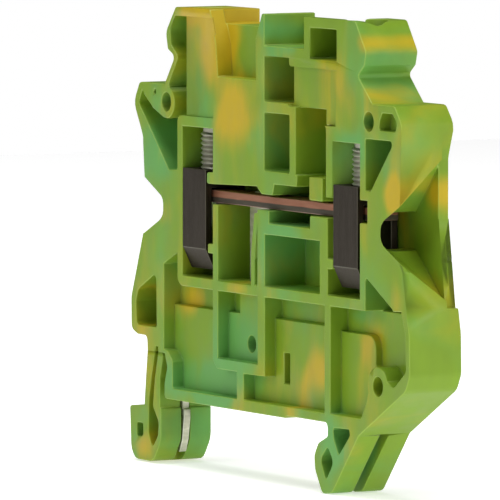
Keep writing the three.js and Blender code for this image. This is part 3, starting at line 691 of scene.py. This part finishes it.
def thread_nodes():
    """Geometry nodes that wind a sharp ridge round a shank: one closed body from the end up."""
    tree = bpy.data.node_groups.new("screw_thread", "GeometryNodeTree")
    for label, kind, value in (
        ("Turns", "NodeSocketFloat", 10.0),
        ("Radius", "NodeSocketFloat", 1.0 * MM),
        ("Pitch", "NodeSocketFloat", 0.5 * MM),
        ("Ridge", "NodeSocketFloat", 0.28 * MM),
        ("Paint", "NodeSocketMaterial", None),
    ):
        socket = tree.interface.new_socket(label, in_out="INPUT", socket_type=kind)
        if value is not None:
            socket.default_value = value
    tree.interface.new_socket("Geometry", in_out="OUTPUT", socket_type="NodeSocketGeometry")
    given = tree.nodes.new("NodeGroupInput")
    result = tree.nodes.new("NodeGroupOutput")
    spiral = tree.nodes.new("GeometryNodeCurveSpiral")
    spiral.inputs["Resolution"].default_value = 28
    tree.links.new(given.outputs["Turns"], spiral.inputs["Rotations"])
    tree.links.new(given.outputs["Radius"], spiral.inputs["Start Radius"])
    tree.links.new(given.outputs["Radius"], spiral.inputs["End Radius"])
    height = sums(tree, "MULTIPLY", given.outputs["Turns"], given.outputs["Pitch"])
    tree.links.new(height, spiral.inputs["Height"])
    upright = tree.nodes.new("GeometryNodeSetCurveNormal")
    upright.mode = "Z_UP"
    tree.links.new(spiral.outputs["Curve"], upright.inputs["Curve"])
    ridge = tree.nodes.new("GeometryNodeCurvePrimitiveCircle")
    ridge.inputs["Resolution"].default_value = 4
    tree.links.new(given.outputs["Ridge"], ridge.inputs["Radius"])
    sweep = tree.nodes.new("GeometryNodeCurveToMesh")
    sweep.inputs["Fill Caps"].default_value = True
    tree.links.new(upright.outputs["Curve"], sweep.inputs["Curve"])
    tree.links.new(ridge.outputs["Curve"], sweep.inputs["Profile Curve"])
    real = tree.nodes.new("GeometryNodeRealizeInstances")
    tree.links.new(sweep.outputs["Mesh"], real.inputs["Geometry"])
    paint = tree.nodes.new("GeometryNodeSetMaterial")
    tree.links.new(real.outputs["Geometry"], paint.inputs["Geometry"])
    tree.links.new(given.outputs["Paint"], paint.inputs["Material"])
    tree.links.new(paint.outputs["Geometry"], result.inputs["Geometry"])
    return tree


THREAD_NODES = thread_nodes()


def wound_thread(name, x, y, z, length):
    """A thread's ridge, from height z up."""
    obj = linked(name, bpy.data.meshes.new(name))
    wind = obj.modifiers.new("wind", "NODES")
    wind.node_group = THREAD_NODES
    values = {
        "Turns": length / THREAD_PITCH,
        "Radius": THREAD_ROOT + THREAD_SINK,
        "Pitch": THREAD_PITCH,
        "Ridge": THREAD_RIDGE,
        "Paint": screw_steel,
    }
    for item in THREAD_NODES.interface.items_tree:
        if item.in_out == "INPUT":
            wind[item.identifier] = values[item.name]
    settled(obj)
    for vert in obj.data.vertices:
        vert.co += Vector((x, y, z))
    return obj


def lathed(name, profile, x, y, steps=48):
    """A turned piece; the profile is (radius, z) from the axis at the bottom to the axis at the top."""
    made = bmesh.new()
    rings = []
    for radius, z in profile:
        if radius == 0:
            rings.append([made.verts.new((x, y, z))])
            continue
        ring = []
        for step in range(steps):
            angle = 2 * math.pi * step / steps
            ring.append(made.verts.new((x + radius * math.cos(angle), y + radius * math.sin(angle), z)))
        rings.append(ring)
    for low, high in zip(rings, rings[1:]):
        for step in range(steps):
            after = (step + 1) % steps
            corners = (low, step), (low, after), (high, after), (high, step)
            around = [ring[i % len(ring)] for ring, i in corners]
            made.faces.new([v for i, v in enumerate(around) if v not in around[:i]])
    mesh = bpy.data.meshes.new(name)
    made.to_mesh(mesh)
    made.free()
    return linked(name, mesh)


def screw_body(name, x, y, low, high):
    """Core, neck and slotted cheese head, in one closed body."""
    left_edge, right_edge = (corner.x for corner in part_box("clamp_screw_left"))
    radius = (right_edge - left_edge) / 2
    seat = high - HEAD_HEIGHT
    profile = [(0, low), (THREAD_ROOT - TIP_CHAMFER, low), (THREAD_ROOT, low + TIP_CHAMFER)]
    profile += [(THREAD_ROOT, seat), (radius - HEAD_CHAMFER, seat), (radius, seat + HEAD_CHAMFER)]
    for step in range(5):
        angle = math.pi / 2 * step / 4
        profile.append((
            radius - HEAD_ROUND + HEAD_ROUND * math.cos(angle),
            high - HEAD_ROUND + HEAD_ROUND * math.sin(angle),
        ))
    profile.append((0, high))
    body = lathed(name, profile, x, y)
    bpy.ops.mesh.primitive_cube_add(size=1, location=(x, y, high))
    cutter = bpy.context.object
    cutter.scale = (6 * MM, SLOT_WIDTH, 2 * SLOT_DEPTH)
    bpy.context.view_layer.update()
    slot = body.modifiers.new("slot", "BOOLEAN")
    slot.operation = "DIFFERENCE"
    slot.object = cutter
    ease = body.modifiers.new("ease", "BEVEL")
    ease.limit_method = "ANGLE"
    ease.angle_limit = math.radians(50)
    ease.width = 0.05 * MM
    ease.segments = 2
    settled(body)
    bpy.data.objects.remove(cutter)
    return body


def clamp_screw(side):
    """Body and wound thread of one screw, with an ease attribute that paints a highlight on the thread's
    crests and shade in its roots.
    """
    low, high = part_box(f"clamp_screw_{side}")
    x, y = (low.x + high.x) / 2, (low.y + high.y) / 2
    body = screw_body(f"clamp_screw_{side}_turned", x, y, low.z, high.z)
    thread = wound_thread(f"thread_{side}", x, y, low.z + TIP_CHAMFER, THREAD_LENGTH)
    made = bmesh.new()
    made.from_mesh(body.data)
    made.from_mesh(thread.data)
    bpy.data.objects.remove(thread)
    ease = made.verts.layers.float.new("ease")
    # ease from the radius: +1 on the crests for a painted highlight, -1 in the roots for painted shade
    for vert in made.verts:
        out = math.hypot(vert.co.x - x, vert.co.y - y)
        if vert.co.z < low.z + THREAD_END:
            vert[ease] = max(-1.0, min(1.0, 2 * (out - THREAD_ROOT) / (THREAD_RADIUS - THREAD_ROOT) - 1))
    for face in made.faces:
        face.material_index = 0
        face.smooth = True
    made.to_mesh(body.data)
    made.free()
    dressed(body, screw_steel, f"screw_{side}", f"clamp_screw_{side}")


for side in SIDES:
    clamp_screw(side)


# ---------------------------------------------------------------- floor, light and camera

def stage_material(name, colour, roughness):
    """A pale floor that also gives off a little light, as a lit sweep of paper does."""
    made = bpy.data.materials.new(name)
    made.use_nodes = True
    shader = made.node_tree.nodes["Principled BSDF"]
    shader.inputs["Base Color"].default_value = colour
    shader.inputs["Roughness"].default_value = roughness
    shader.inputs["Emission Color"].default_value = colour
    shader.inputs["Emission Strength"].default_value = 0.5
    return made


floor_z = cad_box[0][2]
bpy.ops.mesh.primitive_plane_add(size=1.0, location=(0, 0, floor_z - 0.02 * MM))
floor = bpy.context.object
floor.name = "studio_floor"
floor.data.materials.append(stage_material("pale_floor", (0.96, 0.96, 0.96, 1), 0.9))


def studio_world():
    """White behind the block, with a dimmer even light on it."""
    world = bpy.data.worlds.new("studio")
    world.use_nodes = True
    tree = world.node_tree
    backdrop = tree.nodes["Background"]
    seen = tree.nodes.new("ShaderNodeLightPath").outputs["Is Camera Ray"]
    strength = tree.nodes.new("ShaderNodeMapRange")
    tree.links.new(seen, strength.inputs["Value"])
    strength.inputs["To Min"].default_value = 0.1
    strength.inputs["To Max"].default_value = 1.0
    backdrop.inputs["Color"].default_value = (1, 1, 1, 1)
    tree.links.new(strength.outputs["Result"], backdrop.inputs["Strength"])
    bpy.context.scene.world = world


studio_world()


def softbox(name, place, size, power):
    """A square area light that faces the middle of the block."""
    data = bpy.data.lights.new(name, "AREA")
    data.size = size
    data.energy = power
    lamp = bpy.data.objects.new(name, data)
    bpy.context.scene.collection.objects.link(lamp)
    lamp.location = place
    aim = Vector((0, 0, 0.017)) - Vector(place)
    lamp.rotation_euler = aim.to_track_quat("-Z", "Y").to_euler()


softbox("key_softbox", (-0.1, -0.9, 0.55), 0.5, 2.9)
softbox("side_softbox", (0.9, 0.15, 0.35), 0.5, 3.9)
softbox("top_softbox", (0.1, -0.1, 1.0), 0.6, 7.0)

lens = bpy.data.cameras.new("camera")
lens.lens = LENS
lens.sensor_width = SENSOR
lens.clip_start = 0.01
lens.clip_end = 20
camera = bpy.data.objects.new("camera", lens)
bpy.context.scene.collection.objects.link(camera)
camera.location = CAMERA_AT
camera.rotation_euler = (Vector(CAMERA_AIM) - Vector(CAMERA_AT)).to_track_quat("-Z", "Y").to_euler()
bpy.context.scene.camera = camera
bpy.context.scene.view_settings.view_transform = "Standard"
